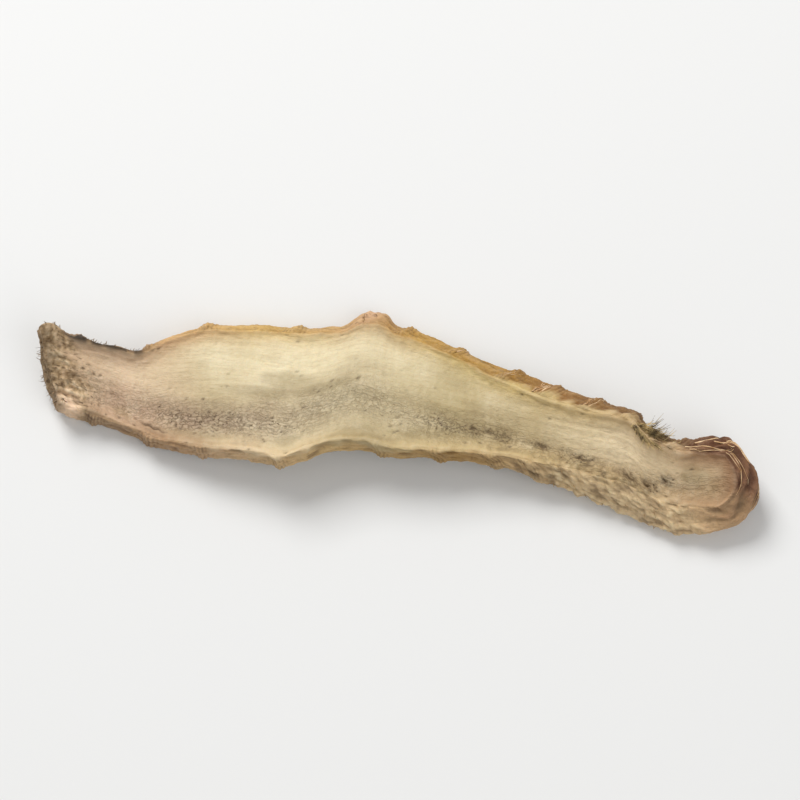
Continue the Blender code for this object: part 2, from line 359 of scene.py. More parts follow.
def along(table, s):
    """The values at s on a smooth curve through the rows of a table, each (s, value, ...)."""
    i = 0
    while i < len(table) - 2 and table[i + 1][0] <= s:
        i += 1
    before, start = table[max(i - 1, 0)], table[i]
    end, after = table[i + 1], table[min(i + 2, len(table) - 1)]
    span = end[0] - start[0]
    p = (s - start[0]) / span
    values = []
    for k in range(1, len(start)):
        rise = end[k] - start[k]
        leaving = (end[k] - before[k]) / (end[0] - before[0]) * span
        arriving = (after[k] - start[k]) / (after[0] - start[0]) * span
        bend = leaving * (1 - p) - arriving * p + rise * (2 * p - 1)
        values.append(start[k] + rise * p + p * (1 - p) * bend)
    return values


def placed(ribs):
    """The ribs as rows of (s, near x, near y, far x, far y), with s even along their middles."""
    middles = [Vector(((rib[0] + rib[2]) / 2, (rib[1] + rib[3]) / 2)) for rib in ribs]
    run = [0.0]
    for here, there in zip(middles, middles[1:]):
        run.append(run[-1] + (there - here).length)
    return [(distance / run[-1], *rib) for distance, rib in zip(run, ribs)]


PLACED_RIBS = placed(RIBS)


def wander(x, y, size, layer):
    """A smooth random number from about -1 to 1 over the plan, the same on each run."""
    return noise.noise(Vector((x / size, y / size, layer)))


def pattern(kind, x, y, shift=0.0):
    """The value at (x, y) of a pattern, given as (strength, length, width, layer of the noise)."""
    strength, long, wide, layer = kind
    return strength * noise.noise(Vector((x / long, y / wide, layer + shift)))


def reach(w):
    """How far out the skin stands at w, from 0 at the upper rim to 1 at the slice's outline."""
    if w < WIDEST_DOWN:
        return math.sin(math.pi / 2 * w / WIDEST_DOWN)
    return 1 - UNDERCUT * ((w - WIDEST_DOWN) / (1 - WIDEST_DOWN)) ** 2


@lru_cache(maxsize=None)
def rib_at(s, w):
    """The near end and the far end of the line across the slice at s, as w goes down the skin."""
    inward = 1 - reach(w)
    s = mix(inward * STEM_END_FLARE / LENGTH, 1 - inward * BUD_END_FLARE / LENGTH, s)
    near_x, near_y, far_x, far_y = along(PLACED_RIBS, s)
    near, far = Vector((near_x, near_y)), Vector((far_x, far_y))
    across = (far - near).normalized()
    near_flare, far_flare = along(FLARE, s)
    stub = STUB_LENGTH / (1 + ((s - STUB_S) * LENGTH / STUB_HALF_WIDTH) ** 4)
    near += across * inward * near_flare
    far += across * (stub * bell(w - STUB_DOWN, STUB_SPREAD) - inward * far_flare)
    return near, far


@lru_cache(maxsize=None)
def section_at(s):
    """Near and far height of the lower rim, the thickness, and the furrow's place and depth at s."""
    near, far = along(UNDERSIDE, s)
    furrow_t, furrow_depth = along(FURROW, s)
    return near, far, THICKNESS * along(STOUTNESS, s)[0], furrow_t, furrow_depth


def plan(s, t, w):
    """The place (x, y) in plan."""
    near, far = rib_at(s, w)
    across = (far - near).normalized()
    lengthwise = Vector((across.y, -across.x))
    bulge = BUD_END_BULGE * ease((s - 1 + BULGE_RUN) / BULGE_RUN)
    bulge -= STEM_END_BULGE * ease((BULGE_RUN - s) / BULGE_RUN)
    point = mix(near, far, (t + 1) / 2) + lengthwise * bulge * (1 - t * t)
    wave = EDGE_WANDER * wander(point.x, point.y, EDGE_WANDER_SIZE, 0.5)
    return point + across * wave * abs(t) ** EDGE_SHARPNESS


class Spot:
    """A place on the slice, with the measures that its relief and marks come from."""

    def __init__(self, s, t, w):
        self.s, self.t, self.w = s, t, w
        near, far = rib_at(s, w)
        self.half = (far - near).length / 2
        self.x, self.y = plan(s, t, w)
        self.low_near, self.low_far, self.thick, self.furrow_t, self.furrow_depth = section_at(s)
        self.a = s * LENGTH
        self.b = t * self.half
        self.down = w * self.thick
        self.in_side = (1 - abs(t)) * self.half
        self.rim = min(self.in_side, self.a, LENGTH - self.a)
        self.off_furrow = (t - self.furrow_t) * self.half
        self.on_skin = abs(t) == 1 or s in (0, 1)
        self.bud = ease((s - BUD_START) / BUD_RUN)

    def around(self):
        """How far round the edge a place on the skin lies, from the near corner of the stem scar."""
        if self.t == -1:
            return self.a
        if self.t == 1:
            return 2 * LENGTH - self.a + 2 * BUD_HALF
        if self.s == 1:
            return LENGTH + (self.t + 1) * BUD_HALF
        return -(self.t + 1) * STEM_HALF


def height(spot):
    """The height over the table, before the fine relief."""
    bottom = mix(spot.low_near, spot.low_far, (spot.t + 1) / 2)
    top = bottom + spot.thick + BUCKLE * wander(spot.x, spot.y, BUCKLE_SIZE, 2.5)
    knob = math.hypot(spot.a, (1 - spot.t) * spot.half)
    top += KNOB_HEIGHT * bell(knob, KNOB_RADIUS)
    sunk = ease(spot.in_side / SINK_RUN) * ease(spot.a / SINK_RUN) * ease((LENGTH - spot.a) / SINK_RUN)
    if spot.w == 0:
        top -= sunk * (UPPER_SINK + spot.furrow_depth * bell(spot.off_furrow, FURROW_HALF_WIDTH))
    if spot.w == 1:
        bottom += sunk * (UNDER_SINK + BUCKLE * wander(spot.x, spot.y, BUCKLE_SIZE, 6.5))
    return mix(top, bottom, spot.w)


def scars_by(spot):
    """The distance to each root scar on the same edge, with the scar's radius and height."""
    for s, edge, w, radius, tall in ROOT_SCARS:
        if edge == spot.t:
            yield math.hypot((spot.s - s) * LENGTH, (spot.w - w) * THICKNESS), radius, tall


def main_relief(spot):
    """The relief that the solid has too: the torn scar, the rings, the folds and the root scars."""
    scar = ease(1 - spot.a / SCAR_LENGTH)
    out = scar * SCAR_ROUGHNESS * wander(spot.x, spot.y, SCAR_GRAIN, 4.5 + spot.w)
    if not spot.on_skin:
        return out
    for ring in RINGS:
        out += RING_HEIGHT * bell((spot.s - ring) * LENGTH, RING_HALF_WIDTH)
    fold = mix(FOLD_HEIGHT, BUD_FOLD_HEIGHT, spot.bud)
    drift = wander(spot.x, spot.y, FOLD_DRIFT_SIZE, 8.5)
    out += fold * math.sin(math.pi * spot.w) * math.cos(2 * math.pi * (FOLDS * spot.w + drift))
    return out + sum(tall * bell(away, radius) for away, radius, tall in scars_by(spot))


def core_share(spot):
    """1 in the band of vessels over the root's core, falling to 0 outside it."""
    middle, half_wide = along(CORE, spot.s)
    half_wide *= 1 + pattern(CORE_EDGE, spot.a, spot.b)
    return bell(spot.b - middle * spot.half, half_wide) * ease((spot.s - CORE_START) / CORE_RUN)


def blot_share(spot, blots, edge):
    """1 in a list of oval places, each (s, t, half length, half width), and 0 well outside them."""
    ragged = pattern(edge, spot.a, spot.b)
    most = 0.0
    for blot_s, blot_t, half_long, half_wide in blots:
        forward = (spot.a - blot_s * LENGTH) / half_long
        sideways = (spot.b - blot_t * spot.half) / half_wide
        most = max(most, ease(BLOT_REACH + ragged - math.hypot(forward, sideways)))
    return most


def pit_share(spot, core, patch, torn):
    """1 in the middle of a small pit, and 0 outside the pits."""
    across = spot.b + pattern(PIT_BEND, spot.a, spot.b)
    at = Vector((spot.a / PIT_LONG, across / PIT_WIDE, mix(*PIT_LAYERS, spot.w)))
    distances, points = noise.voronoi(at)
    chance = (noise.cell(points[0] + PIT_CHANCES) + 1) / 2
    wanted = mix(mix(PIT_SHARE, PIT_SHARE_CORE, core), PIT_SHARE_PATCH, max(patch, torn))
    if chance > wanted:
        return 0.0
    return ease(1 - distances[0] / PIT_EDGE)


def crack_share(spot):
    """1 along the middle of a crack in the upper face, and 0 away from them."""
    most = 0.0
    for crack_s, crack_t, half_long, lean in CRACKS:
        forward = spot.a - crack_s * LENGTH
        if abs(forward) > half_long:
            continue
        middle = crack_t * spot.half + lean * forward + pattern(CRACK_WANDER, forward, crack_s)
        taper = ease(1 - abs(forward) / half_long)
        most = max(most, taper * bell(spot.b - middle, CRACK_HALF_WIDTH))
    return most


def torn_share(spot):
    """1 at the torn stem scar, with a ragged line where it ends."""
    line = TORN_LENGTH + TORN_MORE * bell(spot.t - TORN_MORE_T, TORN_MORE_WIDTH)
    line += pattern(TORN_WANDER, spot.a, spot.b)
    return ease((line - spot.a) / TORN_RUN + 0.5)


def dark_skin_and_shadow_share(spot):
    """1 on the dark far edge beside the stem scar, dark skin with a painted shadow line, and 0 away from it.
    """
    if spot.t < 0:
        return 0.0
    ragged = pattern(DARK_EDGE_OUTLINE, spot.a, spot.down)
    share = ease((spot.s - DARK_EDGE_START) / DARK_EDGE_RUN + ragged)
    share *= ease((DARK_EDGE_END - spot.s) / DARK_EDGE_RUN + ragged)
    share *= ease(DARK_EDGE_KEPT + pattern(DARK_EDGE_BREAKS, spot.a, 0.0))
    if spot.on_skin:
        share *= ease((DARK_EDGE_DOWN - spot.down) / DARK_EDGE_DOWN_RUN + 1.2 * ragged)
    return share * bell(spot.in_side, DARK_EDGE_IN * (1 + 0.8 * ragged))


def bead_share(spot):
    """1 on the beaded near rim by the bud, and 0 away from it."""
    share = ease((spot.s - BEAD_START) / BEAD_START_RUN) * ease((BEAD_END - spot.s) / BEAD_END_RUN)
    return share * bell(spot.rim, BEAD_IN) if spot.t < 0 else 0.0


def beads(spot, share):
    """The lumps of the beaded rim."""
    if share < 0.01:
        return 0.0
    at = Vector((spot.a / BEAD_LONG, (spot.b - spot.down) / BEAD_WIDE, BEAD_LAYER))
    distance = noise.voronoi(at)[0][0]
    return share * BEAD_HEIGHT * (1 - BEAD_STEEPNESS * distance)


def cut_face_relief(spot, pit, crack, torn, beaded):
    """The fine relief of the two cut faces."""
    a, b = spot.a, spot.b
    out = sum(pattern(kind, a, b, spot.w) for kind in (FIBRES, DENTS, GRAINS))
    out += bell(spot.rim, PUCKER_RUN) * pattern(PUCKERS, a, b)
    groove_in = GROOVE_IN + pattern(GROOVE_WANDER, a, spot.t)
    groove = GROOVE_SHARE + pattern(GROOVE_BREAKS, a, spot.t)
    lip = bell(spot.rim - LIP_IN, LIP_WIDTH) - groove * bell(spot.rim - groove_in, LIP_WIDTH)
    out += LIP_HEIGHT * (1 - beaded) * lip
    score = 2 * math.pi * (a + KNIFE_SLANT * b) / KNIFE_SPACING
    out += KNIFE_HEIGHT * math.sin(score + pattern(KNIFE_SWING, a, b))
    out += torn * (pattern(TORN_FIBRES, a, b) + pattern(TORN_CRUMBS, a, b))
    return out - PIT_DEPTH * pit - CRACK_DEPTH * crack


def skin_share(spot):
    """1 where the skin's colour shows, and 0 on the flesh, which reaches over the rim where it is worn."""
    near, far = along(WORN, spot.s)
    worn = mix(near, far, (spot.t + 1) / 2) * (1 + pattern(WORN_EDGE, spot.a, spot.t))
    if spot.on_skin:
        return ease(1 + (spot.w - worn) / WORN_RUN)
    return bell(spot.rim, SKIN_LINE) * (1.0 if spot.w == 1 else ease(1 - worn / WORN_THROUGH))


def stub_share(spot):
    """1 on the broken end of the rootlet stub, and 0 away from it."""
    if spot.t < 1:
        return 0.0
    return bell((spot.s - STUB_S) * LENGTH, STUB_END_WIDTH) * bell(spot.w - STUB_DOWN, STUB_END_DEPTH)


def ring_lines(spot, beaded):
    """The fine lines on the rings round the root, from -1 to 1, and 0 away from them."""
    swing = pattern(RING_LINE_SWING, spot.around(), spot.down)
    out = 0.0
    for ring in RINGS:
        off = (spot.s - ring) * LENGTH
        out += math.cos(2 * math.pi * off / RING_LINE_SPACING + swing) * bell(off, RING_LINE_RUN)
    return (1 - RING_LINES_HIDDEN * beaded) * out


def skin_relief(spot, torn, lines):
    """The fine relief of the skin: wrinkles, ring lines, bud scales and the craters of root scars."""
    around = spot.around()
    out = pattern(CRINKLES, around, spot.down) + RING_LINE_HEIGHT * lines
    for wrinkle in WRINKLES:
        out += wrinkle[0] - WRINKLE_SHARPNESS * abs(pattern(wrinkle, around, spot.down))
    lap = (spot.down / SCALE_SPACING + pattern(SCALE_DRIFT, spot.x, spot.y)) % 1.0
    rise = (lap / SCALE_EDGE) ** 2 if lap < SCALE_EDGE else ease((1 - lap) / (1 - SCALE_EDGE))
    out += spot.bud * SCALE_HEIGHT * (rise - SCALE_LEVEL)
    out -= sum(CRATER_DEPTH * bell(away, CRATER_SHARE * radius) for away, radius, _ in scars_by(spot))
    out += stub_share(spot) * pattern(STUB_ROUGHNESS, spot.a, spot.down)
    return out + torn * pattern(TORN_SKIN, around, spot.down)


def relief_and_marks(spot):
    """How far the surface stands out, and what its colours are worked out from."""
    torn = torn_share(spot)
    core = core_share(spot)
    beaded = bead_share(spot)
    patch = pit = crack = lines = 0.0
    if spot.on_skin:
        lines = ring_lines(spot, beaded)
        fine = skin_relief(spot, torn, lines)
        around = spot.around()
        patch = max(bell(around - at, SPOT_ROUND) * bell(spot.w - w, SPOT_DOWN) for at, w in SKIN_SPOTS)
    else:
        if spot.w == 0:
            patch = blot_share(spot, PIT_PATCHES, PATCH_EDGE)
            crack = crack_share(spot)
        pit = pit_share(spot, core, patch, torn)
        fine = cut_face_relief(spot, pit, crack, torn, beaded)
    fine += beads(spot, beaded)
    marks = {
        "along": spot.s,
        "far_side": ease(FAR_STEEPNESS * spot.t + 1),
        "skin": skin_share(spot),
        "rim": bell(spot.rim, RIM_RUN),
        "core": core,
        "patch": patch,
        # Painted light: the middle of the face paler towards the far edge.
        "pale": bell(spot.s - PALE_S, PALE_RUN) * ease((spot.t - PALE_T) / PALE_T_RUN),
        # Olive stains, and painted shade in a soft band over the middle and by the near rim.
        "stain": blot_share(spot, STAINS_AND_SHADE, STAIN_AND_SHADE_EDGE),
        "stub": stub_share(spot),
        "beaded": beaded,
        "ring": max(-lines, 0.0),
        # The dark far edge by the stem scar: dark skin with a painted shadow line.
        "scorch": dark_skin_and_shadow_share(spot),
        "corner": bell(math.hypot(spot.a - CORNER_A, (spot.t - CORNER_T) * spot.half), CORNER_RADIUS),
        "torn": torn,
        "bud": spot.bud,
        "pit": max(PIT_DARKNESS * pit, crack),
        # How sunk and how raised the fine relief is, which the material turns into painted shade in dips and
        # painted highlight on crests.
        "hollow": max(-fine, 0.0) / FULL_RELIEF,
        "crest": max(fine, 0.0) / FULL_RELIEF,
    }
    return main_relief(spot) + fine, marks


def block_of_faces():
    """A closed block of square faces, and the place of each of its corners."""
    block = bmesh.new()
    bmesh.ops.create_grid(block, x_segments=STEPS_ALONG, y_segments=STEPS_ACROSS, size=0.5)
    made = bmesh.ops.extrude_face_region(block, geom=block.faces[:])
    lifted = [part for part in made["geom"] if isinstance(part, bmesh.types.BMVert)]
    bmesh.ops.translate(block, vec=(0, 0, 1), verts=lifted)
    upright = [edge for edge in block.edges if abs(edge.verts[0].co.z - edge.verts[1].co.z) > 0.5]
    bmesh.ops.subdivide_edges(block, edges=upright, cuts=STEPS_DOWN - 1, use_grid_fill=True)
    spots = []
    for corner in block.verts:
        s = (crowded(2 * corner.co.x, CROWDING_ALONG) + 1) / 2
        t = crowded(2 * corner.co.y, CROWDING_ACROSS)
        spots.append(Spot(round(s, 6), round(t, 6), round(1 - corner.co.z, 6)))
    return block, spots


def shape_slice(block, spots):
    """Moves each corner to its place on the slice, raises the relief and writes the marks."""
    for corner, spot in zip(block.verts, spots):
        corner.co = Vector((spot.x, spot.y, height(spot))) * MM
    bmesh.ops.recalc_face_normals(block, faces=block.faces[:])
    block.normal_update()
    layers = {name: block.verts.layers.float.new(name) for name in relief_and_marks(spots[0])[1]}
    outward = [corner.normal.copy() for corner in block.verts]
    for corner, spot, normal in zip(block.verts, spots, outward):
        out, marks = relief_and_marks(spot)
        corner.co += normal * out * MM
        for name, layer in layers.items():
            corner[layer] = marks[name]


def lay_flat_map(block, spots):
    """A map in millimetres: along and across on the cut faces, round and down on the skin."""
    flat_map = block.loops.layers.uv.new("flat_map")
    block.verts.index_update()
    for face in block.faces:
        here = [spots[corner.index] for corner in face.verts]
        on_skin = len({spot.w for spot in here}) > 1
        on_stem_end = all(spot.s == 0 for spot in here)
        for loop, spot in zip(face.loops, here):
            if on_skin:
                around = -(spot.t + 1) * STEM_HALF if on_stem_end else spot.around()
                loop[flat_map].uv = (around, MAP_SKIN + spot.down)
            else:
                loop[flat_map].uv = (spot.a, spot.b + MAP_UNDERSIDE * spot.w)


def rest_on_table(block):
    """Cuts off what dips under the table, as the solid is cut."""
    everything = block.verts[:] + block.edges[:] + block.faces[:]
    bmesh.ops.bisect_plane(
        block, geom=everything, dist=1e-6, plane_co=(0, 0, 0), plane_no=(0, 0, -1), clear_outer=True
    )
    cut = [edge for edge in block.edges if edge.is_boundary]
    bmesh.ops.holes_fill(block, edges=cut, sides=0)
    bmesh.ops.recalc_face_normals(block, faces=block.faces[:])


def fit_to_solid(block):
    """Moves the fine piece onto the solid's own box, and gives the matrix that does so."""
    places = [corner.co for corner in block.verts]
    low, high = (Vector([pick(place[k] for place in places) for k in range(3)]) for pick in (min, max))
    solid_low, solid_high = SOLID_BOX
    stretch = [(solid_high[k] - solid_low[k]) / (high[k] - low[k]) for k in range(3)]
    carry = Matrix.Translation(solid_low) @ Matrix.Diagonal((*stretch, 1)) @ Matrix.Translation(-low)
    bmesh.ops.transform(block, matrix=carry, verts=block.verts[:])
    return carry


def mesh_of(name, block):
    """Turns a block into a mesh."""
    mesh = bpy.data.meshes.new(name)
    block.to_mesh(mesh)
    block.free()
    return mesh


def shown(name, data):
    """A new object in the scene."""
    made = bpy.data.objects.new(name, data)
    bpy.context.scene.collection.objects.link(made)
    return made


def make_piece(name, block, material):
    """Turns a block into a shown piece of the object."""
    piece = shown(name, mesh_of(name, block))
    piece.data.materials.append(material)
    piece.data.shade_smooth()
    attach(piece, "root")
    return piece


class Surface:
    """The finished surface of the slice, on which hairs find their roots."""

    def __init__(self, block, carry):
        self.tree = BVHTree.FromBMesh(block)
        self.carry = carry

    def at(self, s, t, w):
        """The point of the surface at a place, and the way out of the slice there."""
        spot = Spot(s, t, w)
        rough = Vector((spot.x, spot.y, height(spot))) * MM
        point, outward, _, _ = self.tree.find_nearest(self.carry @ rough)
        return point, outward


def make_slice(material):
    """The fine piece that stands for the solid, and its surface."""
    block, spots = block_of_faces()
    shape_slice(block, spots)
    lay_flat_map(block, spots)
    rest_on_table(block)
    surface = Surface(block, fit_to_solid(block))
    piece = make_piece("fine_slice", block, material)
    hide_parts(NODE)
    return surface


class Wire:
    """A socket of a material's node. Sums of wires add the nodes that work them out."""

    def __init__(self, tree, socket=None):
        self.tree = tree
        self.socket = socket

    def into(self, socket):
        """Links this wire to a socket."""
        self.tree.links.new(self.socket, socket)

    def node(self, kind, settings=(), sockets=(), out=0):
        """Adds a node, with its settings and what its sockets take, and gives the wire from it."""
        made = self.tree.nodes.new("ShaderNode" + kind)
        for name, value in dict(settings).items():
            if name == "stops":
                set_stops(made.color_ramp.elements, value)
            else:
                setattr(made, name, value)
        for name, value in dict(sockets).items():
            if isinstance(value, Wire):
                value.into(made.inputs[name])
            else:
                made.inputs[name].default_value = value
        return Wire(self.tree, made.outputs[out])

    def maths(self, operation, *values):
        return self.node("Math", {"operation": operation}, dict(enumerate(values)))

    def __add__(self, other):
        return self.maths("ADD", self, other)

    def __radd__(self, other):
        return self.maths("ADD", other, self)

    def __sub__(self, other):
        return self.maths("SUBTRACT", self, other)

    def __rsub__(self, other):
        return self.maths("SUBTRACT", other, self)

    def __mul__(self, other):
        return self.maths("MULTIPLY", self, other)

    def __rmul__(self, other):
        return self.maths("MULTIPLY", other, self)

    def __abs__(self):
        return self.maths("ABSOLUTE", self)

    def held(self):
        """Held between 0 and 1."""
        return self.node("Clamp", {}, {"Value": self})

    def past(self, level, steepness):
        """From 0 to 1 past a level of this wire, or from 1 to 0 if the steepness is negative."""
        return ((self - level) * steepness).held()

    def mark(self, name):
        """A number written on the corners of the piece."""
        return self.node("Attribute", {"attribute_name": name}, out="Fac")

    def toward(self, other, share):
        """From this colour to another wire or (red, green, blue), by a share from 0 to 1."""
        other = other if isinstance(other, Wire) else seen(*other)
        sockets = {"Factor": share, "A": self, "B": other}
        return self.node("Mix", {"data_type": "RGBA"}, sockets, out="Result")

    def tinted(self, *tints):
        """This colour after several tints in turn, each (colour, share)."""
        colour = self
        for other, share in tints:
            colour = colour.toward(other, share)
        return colour

    def drawn_out(self, x, y):
        """This place in the map, squeezed along x and y."""
        return self.node("Mapping", {}, {"Vector": self, "Scale": (x, y, 1.0)})

    def cloud(self, scale, detail=3.0, roughness=0.55):
        """A number from 0 to 1 that changes smoothly over the places of this wire."""
        sockets = {"Vector": self, "Scale": scale, "Detail": detail, "Roughness": roughness}
        return self.node("TexNoise", {}, sockets)

    def dots(self, scale):
        """1 in the middle of scattered dots and 0 between them."""
        away = self.node("TexVoronoi", {}, {"Vector": self, "Scale": scale}, out="Distance")
        return (1.25 - away * 3.2).held()

    def ramp(self, stops):
        """The colour at this place in a table of (place, red, green, blue)."""
        return self.node("ValToRGB", {"stops": stops}, {"Fac": self}, out="Color")


def set_stops(elements, stops):
    """Gives a ramp its stops, in place of the two that it starts with."""
    for place, *_ in stops[1:-1]:
        elements.new(place)
    for element, (place, *colour) in zip(elements, stops):
        element.position = place
        element.color = seen(*colour)


def seen(red, green, blue):
    """A colour as the eye reads it, from 0 to 255, as the light that it sends back."""
    levels = [value / 255 for value in (red, green, blue)]
    return (*[v / 12.92 if v <= 0.04045 else ((v + 0.055) / 1.055) ** 2.4 for v in levels], 1)


# Colours along the slice from the stem scar to the bud end, as (s, red, green, blue).
FLESH = (
    (0.00, 184, 152, 118), (0.05, 218, 187, 152), (0.11, 230, 199, 166), (0.17, 209, 184, 148),
    (0.24, 200, 182, 142), (0.36, 212, 195, 156), (0.46, 202, 185, 146), (0.58, 184, 166, 122),
    (0.72, 199, 179, 137), (0.84, 240, 219, 180), (0.92, 230, 206, 166), (0.97, 204, 176, 138),
    (1.00, 182, 150, 114),
)
VESSELS = (
    (0.00, 168, 138, 112), (0.12, 194, 163, 136), (0.22, 172, 148, 122), (0.32, 190, 170, 140),
    (0.42, 190, 174, 140), (0.53, 190, 173, 137), (0.59, 168, 150, 112), (0.66, 162, 142, 104),
    (0.82, 186, 162, 124), (0.92, 190, 164, 126), (1.00, 160, 134, 98),
)
RIM_NEAR = (
    (0.00, 160, 130, 98), (0.10, 194, 160, 130), (0.16, 168, 134, 100), (0.22, 174, 142, 106),
    (0.28, 216, 188, 150), (0.37, 214, 188, 146), (0.43, 184, 160, 114), (0.48, 172, 150, 106),
    (0.56, 202, 178, 130), (0.72, 202, 176, 126), (0.84, 190, 164, 120), (1.00, 160, 128, 92),
)
RIM_FAR = (
    (0.00, 112, 92, 68), (0.03, 176, 148, 122), (0.13, 190, 158, 126), (0.18, 214, 168, 120),
    (0.30, 218, 184, 122), (0.37, 226, 200, 146), (0.44, 208, 176, 130), (0.60, 210, 184, 118),
    (0.80, 196, 168, 118), (0.94, 180, 144, 104), (0.98, 140, 98, 66), (1.00, 112, 72, 46),
)
SKIN_NEAR = (
    (0.00, 128, 104, 78), (0.10, 182, 150, 116), (0.19, 178, 142, 104), (0.26, 214, 180, 138),
    (0.42, 208, 176, 120), (0.60, 168, 132, 74), (0.72, 206, 176, 130), (0.86, 216, 188, 146),
    (0.95, 212, 180, 136), (1.00, 186, 150, 110),
)
# The far skin holds painted shade: near-black by the stem scar and darkening from the middle to the bud,
# over its own golden brown.
SKIN_FAR = (
    (0.00, 116, 98, 74), (0.04, 124, 100, 74), (0.125, 126, 98, 68), (0.17, 206, 164, 110),
    (0.30, 204, 166, 94), (0.44, 190, 150, 102), (0.52, 190, 148, 70), (0.62, 172, 130, 56),
    (0.72, 150, 106, 50), (0.84, 124, 90, 48), (0.92, 98, 58, 34), (1.00, 84, 48, 28),
)

# The scar's colours, from those of its dark clouds to those of its light ones.
SCAR = ((0.30, 112, 90, 62), (0.46, 178, 150, 112), (0.66, 224, 194, 156))


def new_material(name):
    """A material, the start of its wires, and the sockets of its shader."""
    made = bpy.data.materials.new(name)
    made.use_nodes = True
    return made, Wire(made.node_tree), made.node_tree.nodes["Principled BSDF"].inputs


def slice_material():
    """Dried flesh and skin, tinted along the slice and by its marks."""
    made, start, shader = new_material("dried_root")
    flat = start.node("UVMap", {"uv_map": "flat_map"})
    solid = start.node("TexCoord", out="Object")
    s, far_side, skin, core, torn, bud = map(start.mark, "along far_side skin core torn bud".split())
    rim, patch, stub, pit, hollow, crest = map(start.mark, "rim patch stub pit hollow crest".split())

    broad = solid.cloud(170.0)
    middling = solid.cloud(520.0, 4.0)
    speck = solid.cloud(2300.0, 2.0)
    fibre = flat.drawn_out(0.14, 1.0).cloud(3.0, 4.0, 0.7)
    hair_line = flat.drawn_out(0.05, 1.0).cloud(5.5, 2.0)
    hatch = flat.drawn_out(1.0, 0.20).cloud(1.5, 2.0)
    stipple = flat.drawn_out(1.0, 1.5).dots(2.3) * speck.past(0.42, 6.0)
    squiggle = (1.0 - abs(flat.drawn_out(0.7, 1.2).cloud(1.7, 3.0) - 0.5) * 16.0).held()

    flesh = s.ramp(FLESH).tinted(
        # painted light on the middle, paler towards the far edge, and light clouds
        ((236, 222, 184), start.mark("pale") * (broad * 1.6 - 0.25)),
        ((238, 226, 196), broad.past(0.52, 2.2) * 0.5),
        # dark fibres, and hatching by the knife
        ((168, 138, 92), fibre.past(0.46, 2.6) * 0.45),
        ((176, 150, 108), hatch.past(0.5, 3.0) * (broad * 0.18)),
        # the vessels over the core, their light walls, dark mouths and hairlines
        (s.ramp(VESSELS), core * (0.35 + middling * 1.2)),
        ((230, 212, 178), middling.past(0.46, -4.0) * core * 0.35),
        ((112, 90, 62), core * stipple * 0.60),
        ((118, 98, 66), (core * 1.1).held() * squiggle * broad.past(0.36, 4.0) * 0.36),
        ((118, 92, 58), (core * (hair_line - 0.52) * 5.0).held() * 0.45),
        # stains with painted shade in a soft band over the middle and by the near rim, and the flesh near
        # the rim, browner at the bud
        ((148, 130, 92), start.mark("stain") * (0.15 + middling * 0.6)),
        (s.ramp(RIM_NEAR).toward(s.ramp(RIM_FAR), far_side), rim * (0.25 + broad * 1.2)),
        ((178, 138, 100), bud * rim * 0.5),
        # patches of pits, darker towards the bud, and the pits and cracks
        ((76, 60, 38), patch * (stipple * 0.8 + squiggle * 0.32 + 0.08 + s.past(0.55, 2.0) * 0.35)),
        ((80, 63, 42), pit * (0.45 + speck * 0.6)),
    )
    hide = s.ramp(SKIN_NEAR).toward(s.ramp(SKIN_FAR), far_side).tinted(
        # painted highlight on crests, painted shade in hollows, and dark and light fibres
        ((216, 184, 136), (crest * (middling + 0.05)).held() * (0.50 - bud * 0.34)),
        ((92, 66, 42), (hollow * (middling + 0.25)).held() * 0.50),
        ((112, 80, 48), fibre.past(0.44, 3.0) * 0.45),
        ((222, 188, 140), fibre.past(0.42, -4.0) * 0.35),
        # the broken end of the stub, and specks all over
        ((220, 180, 144), stub * 0.7),
        ((140, 102, 74), stub * (speck - 0.46) * 3.0),
        ((96, 72, 46), speck.past(0.52, 4.0) * 0.35),
        # the bud's ruddy folds, the ring lines, the dark spots, and the pale beads, paler still on their
        # crests as a painted highlight
        ((188, 132, 98), (bud * crest).held() * (middling * 0.40)),
        ((96, 68, 40), start.mark("ring") * (0.2 + middling * 0.6)),
        ((84, 64, 40), (patch * (0.3 + middling)).held() * 0.8),
        ((238, 216, 172), (start.mark("beaded") * (crest + 0.1)).held() * 0.55),
    )
    scar = solid.cloud(1500.0, 3.0).ramp(SCAR).tinted(
        # dark dots, the dark edge, and the pale corner
        ((66, 50, 32), stipple * 0.8 + pit * 0.7),
        ((92, 70, 44), (1.0 - s * 60.0).held() * (0.25 + speck * 0.6)),
        ((242, 210, 178), start.mark("corner") * (0.8 + speck * 0.5)),
    )
    whole = flesh.tinted(
        (hide, skin * (0.7 + broad * 0.6)),
        (scar, torn * (0.62 + middling * 0.6)),
        # painted shade in the flesh's hollows, painted highlight on its crests, and the dark far edge by the
        # stem scar: dark skin with a painted shadow line
        ((96, 70, 44), (hollow * (1.0 - skin) * 0.5).held() * 0.7),
        ((240, 226, 196), crest * (1.0 - skin) * (0.35 - rim * 0.18)),
        ((46, 36, 25), start.mark("scorch") * (0.7 + middling * 0.4)),
    )
    whole.into(shader["Base Color"])

    dull = 0.60 + (middling - 0.5) * 0.3 - skin * 0.08 + torn * 0.15
    dull.into(shader["Roughness"])
    fine = speck * 0.8 + fibre * (0.8 + skin * 0.6) + middling * 0.4 + hatch * 0.12 - squiggle * core * 0.5
    bump = start.node("Bump", {}, {"Strength": 0.7, "Distance": 0.00020, "Height": fine})
    bump.into(shader["Normal"])
    shader["Subsurface Weight"].default_value = 0.12
    shader["Subsurface Radius"].default_value = (1.0, 0.65, 0.35)
    shader["Subsurface Scale"].default_value = 0.0006
    shader["Specular IOR Level"].default_value = 0.35
    return made


